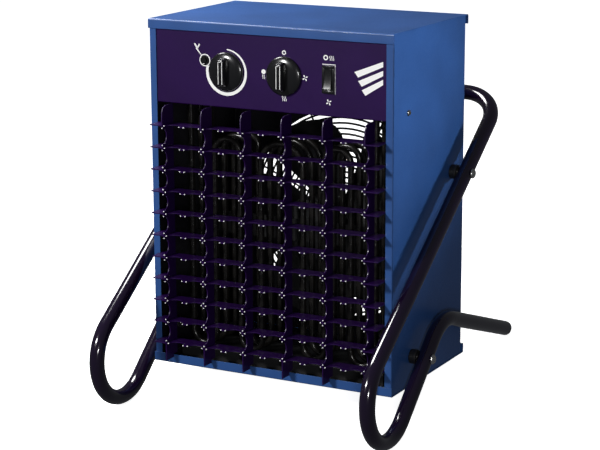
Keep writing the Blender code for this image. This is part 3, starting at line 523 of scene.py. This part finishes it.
def element_route(plane):
    legs = [leg * MM for leg in ELEMENT_LEGS]
    points = [(legs[0], plane, ELEMENT_END)]
    steps = 16
    for k, (a, b) in enumerate(zip(legs, legs[1:])):
        radius, middle = (b - a) / 2, (a + b) / 2
        sign = -1 if k % 2 == 0 else 1
        centre = ELEMENT_TOP - radius if sign > 0 else ELEMENT_BOTTOM + radius
        for step in range(steps + 1):
            angle = math.pi * step / steps
            points.append((middle - radius * math.cos(angle), plane,
                           centre + sign * radius * math.sin(angle)))
    points.append((legs[-1], plane, ELEMENT_END))
    return points


def elements():
    for number, plane in enumerate(ELEMENT_PLANES, 1):
        bm = bmesh.new()
        add_swept(bm, element_route(plane * MM), ELEMENT_RADIUS - 0.1 * MM, 16)
        piece(f"element_rod_{number}", bm, "element_sheath", nodes=[f"heating_element_{number}"])


# ---------------------------------------------------------------- tube frame

def along(angle):
    return Vector((math.cos(angle), math.sin(angle)))


def normal_of(angle):
    return Vector((-math.sin(angle), math.cos(angle)))


UPPER_START = LOOP_CENTRE + normal_of(UPPER_ANGLE) * LOOP_RADIUS
LOWER_START = LOOP_CENTRE - normal_of(LOWER_ANGLE) * LOOP_RADIUS
REAR_CORNER = LOWER_START + along(LOWER_ANGLE) * LOWER_LENGTH


def tube_route(side):
    """From the rear leg's end, round the front loop, up to the handle's middle."""
    flat = [REAR_CORNER + along(REAR_ANGLE) * REAR_LENGTH]
    turn = LOWER_ANGLE - REAR_ANGLE
    tangent = REAR_CORNER - along(LOWER_ANGLE) * REAR_RADIUS * math.tan(turn / 2)
    centre = tangent - normal_of(LOWER_ANGLE) * REAR_RADIUS
    flat += arc(centre, REAR_RADIUS, REAR_ANGLE + QUARTER, LOWER_ANGLE + QUARTER, 16)
    flat += arc(LOOP_CENTRE, LOOP_RADIUS, LOWER_ANGLE - QUARTER, UPPER_ANGLE + QUARTER - TAU, 40)
    points = [Vector((side * TUBE_X, p.x, p.y)) for p in flat]
    steps = 16
    for k in range(steps + 1):
        angle = QUARTER * k / steps
        reach = HANDLE_REACH - HANDLE_RADIUS * (1 - math.sin(angle))
        p = UPPER_START + along(UPPER_ANGLE) * reach
        points.append(Vector((side * (TUBE_X - HANDLE_RADIUS * (1 - math.cos(angle))), p.x, p.y)))
    p = UPPER_START + along(UPPER_ANGLE) * HANDLE_REACH
    points.append(Vector((side * 0.1 * MM, p.x, p.y)))
    return points


def frame_tubes():
    for word, side in (("left", -1), ("right", 1)):
        bm = bmesh.new()
        add_swept(bm, tube_route(side), TUBE_RADIUS, 32)
        piece(f"{word}_tube_skin", bm, "frame_enamel", nodes=[f"{word}_frame_tube"])

        end, towards = tube_route(side)[:2]
        bm = bmesh.new()
        cap = in_mm([(0, 3.9), (6.8, 3.9), (8.1, 3.3), (8.9, 2.2), (9.6, 0.9)])
        cap += [(TUBE_RADIUS, GAP), (0, GAP)]
        add_turned(bm, cap, facing(end, end - towards), 40)
        piece(f"{word}_tube_cap", bm, "spacer_plastic", nodes=[f"{word}_leg_cap"])


def fixings():
    places = {"upper": UPPER_START + along(UPPER_ANGLE) * UPPER_BOLT,
              "lower": LOWER_START + along(LOWER_ANGLE) * LOWER_BOLT}
    spacer = in_mm([(4.5, 0.3), (8.6, 0.3), (9.4, 1.1), (9.4, 8.6), (8.6, 9.6), (4.5, 9.6)])
    bolt = in_mm([(0, 4.2), (2.6, 4.0), (4.6, 3.3), (6.0, 1.9), (6.5, 0.5), (6.5, 0.3),
                  (3.9, 0.3), (3.9, -41), (0, -41)])
    for word, side in (("left", -1), ("right", 1)):
        out = (side, 0, 0)
        for level, p in places.items():
            bm = bmesh.new()
            add_turned(bm, spacer, facing((side * SIDE_HALF, p.x, p.y), out), 40)
            piece(f"{word}_{level}_stand_off", bm, "spacer_plastic",
                  nodes=[f"{word}_{level}_spacer"])
            bm = bmesh.new()
            add_turned(bm, bolt, facing((side * (TUBE_X + TUBE_RADIUS), p.x, p.y), out), 32)
            piece(f"{word}_{level}_dome_bolt", bm, "zinc_plated_steel",
                  nodes=[f"{word}_{level}_bolt"])


def side_screws():
    head = in_mm([(0, 2.0), (1.2, 2.2), (2.8, 1.7), (3.8, 0.6), (3.9, 0.3), (1.9, 0.3),
                  (1.9, -9), (0, -9)])
    for word, side in (("left", -1), ("right", 1)):
        bm = bmesh.new()
        add_turned(bm, head, facing((side * SIDE_HALF, SCREW_Y, SCREW_Z), (side, 0, 0)), 24)
        piece(f"{word}_pan_screw", bm, "zinc_plated_steel", nodes=[f"{word}_side_screw"])


# ---------------------------------------------------------------- controls

def add_panel_block(bm, x, z, low, high, front, back):
    """A block in the panel's plane: low and high are its corners in mm, from the point (x, z)."""
    add_block(bm, (x + low[0] * MM, front, z + low[1] * MM),
              (x + high[0] * MM, back, z + high[1] * MM))


def knob(word, x, body):
    """A round skirt with a raised bar grip, and white lines along the bar's edges that are painted highlights."""
    bm = bmesh.new()
    skirt = in_mm([(0, 6.6), (16, 6.4), (19.5, 5.6), (22.5, 4.4), (24.4, 3.2), (25, 2.2),
                   (25, 0.9), (0, 0.9)])
    add_turned(bm, skirt, facing((x, PANEL_FACE, KNOB_HEIGHT), (0, -1, 0)), 96)
    bar = bmesh.new()
    add_block(bar, (-4.9 * MM, -18.6 * MM, 5.5 * MM), (4.9 * MM, 18.6 * MM, 16.4 * MM))
    for v in bar.verts:
        if v.co.z > 10 * MM:
            v.co.x *= 0.82
            v.co.y *= 0.88
    soften(bar, 1.5 * MM, 4)
    turn = Matrix.Translation((x, PANEL_FACE, KNOB_HEIGHT)) @ Matrix.Rotation(QUARTER, 4, "X")
    mesh = bpy.data.meshes.new("bar")
    bar.to_mesh(mesh)
    bar.free()
    mesh.transform(turn)
    bm.from_mesh(mesh)
    bpy.data.meshes.remove(mesh)
    piece(f"{word}_grip", bm, "control_plastic", body, [f"{word}_knob"])

    # painted highlights: white lines along the bar's long edges and across its top, in place of the light on those
    # edges
    bm = bmesh.new()
    top = PANEL_FACE - 16.45 * MM
    for low, high in (((-3.1, -14.5), (-2.2, 14.5)), ((2.2, -14.5), (3.1, 14.5)),
                      ((-3.1, 13.7), (0.6, 14.5))):
        add_panel_block(bm, x, KNOB_HEIGHT, low, high, top, top + 0.4 * MM)
    soften(bm, 0.12 * MM, 1)
    piece(f"{word}_edge_highlight", bm, "white_print_and_highlight", body)


def rocker():
    """The rocker switch's surround and the switch body behind the panel."""
    bm = bmesh.new()
    for low, high in (((-8.5, -17.5), (8.5, -13.6)), ((-8.5, 13.6), (8.5, 17.5)),
                      ((-8.5, -13.8), (-5.4, 13.8)), ((5.4, -13.8), (8.5, 13.8))):
        add_panel_block(bm, ROCKER_X, KNOB_HEIGHT, low, high,
                        PANEL_FACE - 2.4 * MM, PANEL_FACE - GAP)
    soften(bm, 0.4 * MM, 2)
    add_panel_block(bm, ROCKER_X, KNOB_HEIGHT, (-6.4, -14.5), (6.4, 14.5),
                    PANEL_FACE + 2 * MM, PANEL_FACE + 25 * MM)
    piece("rocker_bezel", bm, "control_plastic", nodes=["rocker_housing"])


def reset():
    bm = bmesh.new()
    place = facing((RESET_X, PANEL_FACE - GAP, RESET_Z), (0, -1, 0))
    ring = in_mm([(6.2, 0), (6.2, 0.9), (5.6, 1.7), (4.6, 1.9), (3.9, 1.6), (3.9, 0)])
    add_turned(bm, ring, place, 48)
    piece("reset_bezel", bm, "control_plastic", nodes=["reset_collar"])


# ---------------------------------------------------------------- printed marks

PRINT_Y = PANEL_FACE - 0.06 * MM  # middle of the prints' 0.1 mm


def print_shape(bm, outline):
    """A printed shape from (X, Z) points in mm."""
    add_plate(bm, in_mm(outline), 0.1 * MM, lambda x, z, t: Vector((x, PRINT_Y + t, z)))


def print_ring(bm, x, z, outer, inner, start, end, steps=48, inner_end=None):
    """An arc band, clockwise from start to end in degrees from 12 o'clock.

    With inner_end the band's inner radius changes from inner to that, and then stays there.
    """
    last = inner if inner_end is None else inner_end
    growth = 2.2  # the change is over after 1 / growth of the arc

    def corner(share, radius):
        angle = math.radians(start + (end - start) * share)
        return (x + radius * math.sin(angle), z + radius * math.cos(angle))

    def inner_at(share):
        return inner + (last - inner) * min(1, share * growth)

    for k in range(steps):
        low, high = k / steps, (k + 1) / steps
        print_shape(bm, [corner(low, outer), corner(high, outer),
                         corner(high, inner_at(high)), corner(low, inner_at(low))])


def print_fan(bm, x, z, size):
    """A small four-bladed fan sign."""
    blade = [(0.12, 0), (0.55, 0.32), (1.0, 0.22), (0.95, -0.12), (0.5, -0.1)]
    for k in range(4):
        turn = QUARTER * k + 0.4
        print_shape(bm, [(x + size * (a * math.cos(turn) - b * math.sin(turn)),
                          z + size * (a * math.sin(turn) + b * math.cos(turn))) for a, b in blade])


def print_waves(bm, x, z, count, height):
    """Upright wavy lines, the usual sign for heat."""
    for k in range(count):
        middle = x + (k - (count - 1) / 2) * 2.3
        left, right = [], []
        for step in range(9):
            up = height * (step / 8 - 0.5)
            sway = 0.55 * math.sin(TAU * step / 8)
            left.append((middle + sway - 0.42, z + up))
            right.append((middle + sway + 0.42, z + up))
        print_shape(bm, left + right[::-1])


def panel_prints():
    """Plain signs round the controls, and an emblem of three slanted stripes. All in mm."""
    bm = bmesh.new()
    t, s, r = THERMOSTAT_X / MM, SELECTOR_X / MM, ROCKER_X / MM
    print_ring(bm, t, 397, 30, 28.6, 2, 285, inner_end=25.8)
    print_ring(bm, s, 427.6, 2.9, 1.6, 0, 360, 24)
    print_fan(bm, s + 29.8, 397.7, 4.0)
    print_waves(bm, s, 369.6, 3, 6.4)
    print_ring(bm, s - 29.4, 401.6, 3.0, 0.3, 0, 360, 20)
    print_waves(bm, s - 29.4, 395.2, 2, 5.4)
    print_fan(bm, r, 369.6, 4.0)
    print_ring(bm, r - 4.2, 425.2, 3.3, 1.8, 0, 360, 20)
    print_waves(bm, r + 4.2, 424.8, 3, 5.8)
    rocker_lines = ([(76.6, 416.4), (94.8, 416.4), (94.8, 417.3), (76.6, 417.3)],
                    [(94.1, 380), (95.0, 380), (95.0, 417.3), (94.1, 417.3)])
    reset_sign = ([(-98.2, 416.8), (-97.4, 417.6), (-104.6, 426.4), (-106.0, 425.2)],
                  [(-104.0, 424.0), (-108.4, 431.0), (-106.6, 431.8), (-102.4, 425.6)],
                  [(-104.6, 425.4), (-101.0, 431.4), (-99.4, 430.4), (-102.8, 424.8)])
    for outline in rocker_lines:
        print_shape(bm, outline)
    print_ring(bm, RESET_X / MM, RESET_Z / MM, 8.0, 6.7, 0, 360, 32)
    for outline in reset_sign:
        print_shape(bm, outline)
    piece("panel_marks", bm, "white_print_and_highlight")

    bm = bmesh.new()
    right = 160
    for k in range(3):
        left, base = 121 + 5 * k, 410 - 11 * k
        print_shape(bm, [(left, base), (left + 5, base - 6.5), (right, base + 8.5),
                         (right, base + 15)])
    piece("panel_emblem", bm, "white_print_and_highlight")


# ---------------------------------------------------------------- supply inlet

def inlet():
    """The recessed supply plug with its shroud, and the two lugs its lid hinges between."""
    bm = bmesh.new()
    shroud = in_mm([(23.6, 34), (26.2, 34), (27, 33), (27, 6), (29, 4), (35.4, 4), (36.8, 3),
                    (36.8, 0), (2, 0), (2, 8), (23.6, 8)])
    add_turned(bm, shroud, facing((0, INLET_Y, INLET_Z), (0, 1, 0)), 72)
    for side in (-1, 1):
        add_block(bm, (side * 9 * MM - 2.5 * MM, INLET_Y + 12 * MM, 427 * MM),
                  (side * 9 * MM + 2.5 * MM, INLET_Y + 40.6 * MM, 439.6 * MM))
    piece("inlet_shroud", bm, "inlet_plastic", nodes=["inlet_housing"])


# ---------------------------------------------------------------- floor, light and camera

AMBIENT = 0.08  # how strongly the surroundings light the heater
KEY_POWER, FILL_POWER, SIDE_POWER, TOP_POWER = 46, 15, 2.0, 12  # in watts
FLOOR_REACH, WALL_RADIUS = 30, 29  # in metres
FLOOR_GLOW = 0.93


def stage():
    """A white floor and a far wall round it, which throw no light back on the heater."""
    made, nodes, _ = bare_material("pale_floor")
    shader = nodes["Principled BSDF"]
    shader.inputs["Base Color"].default_value = (0.9, 0.9, 0.9, 1)
    shader.inputs["Roughness"].default_value = 0.9
    shader.inputs["Specular IOR Level"].default_value = 0.0
    shader.inputs["Emission Color"].default_value = (1, 1, 1, 1)
    shader.inputs["Emission Strength"].default_value = FLOOR_GLOW

    floor, wall = bmesh.new(), bmesh.new()
    bmesh.ops.create_grid(floor, x_segments=8, y_segments=8, size=FLOOR_REACH)
    bmesh.ops.create_cone(wall, cap_ends=False, segments=96, radius1=WALL_RADIUS,
                          radius2=WALL_RADIUS, depth=WALL_RADIUS,
                          matrix=Matrix.Translation((0, 0, WALL_RADIUS / 2)))
    for name, bm in (("studio_floor", floor), ("studio_wall", wall)):
        mesh = bpy.data.meshes.new(name)
        bm.to_mesh(mesh)
        bm.free()
        mesh.materials.append(made)
        obj = bpy.data.objects.new(name, mesh)
        bpy.context.scene.collection.objects.link(obj)
        obj.visible_diffuse = obj.visible_glossy = False
        obj.visible_shadow = name == "studio_floor"  # the wall would keep the ambient light out


def light(name, place, target, size, power, spread=180):
    data = bpy.data.lights.new(name, "AREA")
    data.shape = "DISK"
    data.size = size
    data.energy = power
    data.spread = math.radians(spread)
    lamp = bpy.data.objects.new(name, data)
    bpy.context.scene.collection.objects.link(lamp)
    lamp.location = place
    lamp.rotation_euler = (Vector(target) - Vector(place)).to_track_quat("-Z", "Y").to_euler()
    return lamp


def lights():
    world = bpy.data.worlds.new("studio")
    bpy.context.scene.world = world
    world.use_nodes = True
    surroundings = world.node_tree.nodes["Background"]
    surroundings.inputs["Color"].default_value = (0.90, 0.94, 1.0, 1)
    surroundings.inputs["Strength"].default_value = AMBIENT
    light("key", (-0.95, -1.9, 1.7), (0, 0, 0.25), 0.40, KEY_POWER)
    light("fill", (1.3, -2.1, 0.9), (0, 0, 0.25), 0.25, FILL_POWER)
    side = light("side", (0.80, 1.05, 0.38), (0.17, -0.52, 0.50), 0.14, SIDE_POWER, 34)
    side.visible_glossy = False  # it grazes the side panel, where its reflection would glare
    light("top", (-0.56, 0.10, 1.05), (-0.16, 0.0, 0.48), 0.45, TOP_POWER)


def camera():
    """The viewing angle: 28.26 degrees to the right of the grille and 13.14 degrees above it."""
    azimuth, elevation, roll = math.radians(28.26), math.radians(13.14), math.radians(-0.22)
    distance, shift_right, shift_up = 2.55539, -0.0074, -0.04477
    back = Vector((math.sin(azimuth) * math.cos(elevation),
                   -math.cos(azimuth) * math.cos(elevation), math.sin(elevation)))
    flat_right = (-back).cross(Vector((0, 0, 1))).normalized()
    flat_up = flat_right.cross(-back)
    right = flat_right * math.cos(roll) + flat_up * math.sin(roll)
    up = flat_up * math.cos(roll) - flat_right * math.sin(roll)
    place = Vector((0, 0.1, 0.23)) + back * distance + right * shift_right + up * shift_up
    data = bpy.data.cameras.new("camera")
    data.lens = 116.22  # in mm, as is the sensor
    data.sensor_width = 36
    made = bpy.data.objects.new("camera", data)
    bpy.context.scene.collection.objects.link(made)
    turn = Matrix((right, up, back)).transposed().to_4x4()
    made.matrix_world = HEATER @ (Matrix.Translation(place) @ turn)
    bpy.context.scene.camera = made


# ---------------------------------------------------------------- assembly

bpy.context.scene.view_settings.view_transform = "Standard"  # keeps the enamels' colours deep
camera()
paint_frame_nodes()
grille()
guard()
impeller()
motor()
elements()
frame_tubes()
fixings()
side_screws()
knob("thermostat", THERMOSTAT_X, "thermostat_dial")
knob("selector", SELECTOR_X, "selector_dial")
rocker()
reset()
panel_prints()
inlet()
stage()
lights()

bpy.context.view_layer.update()
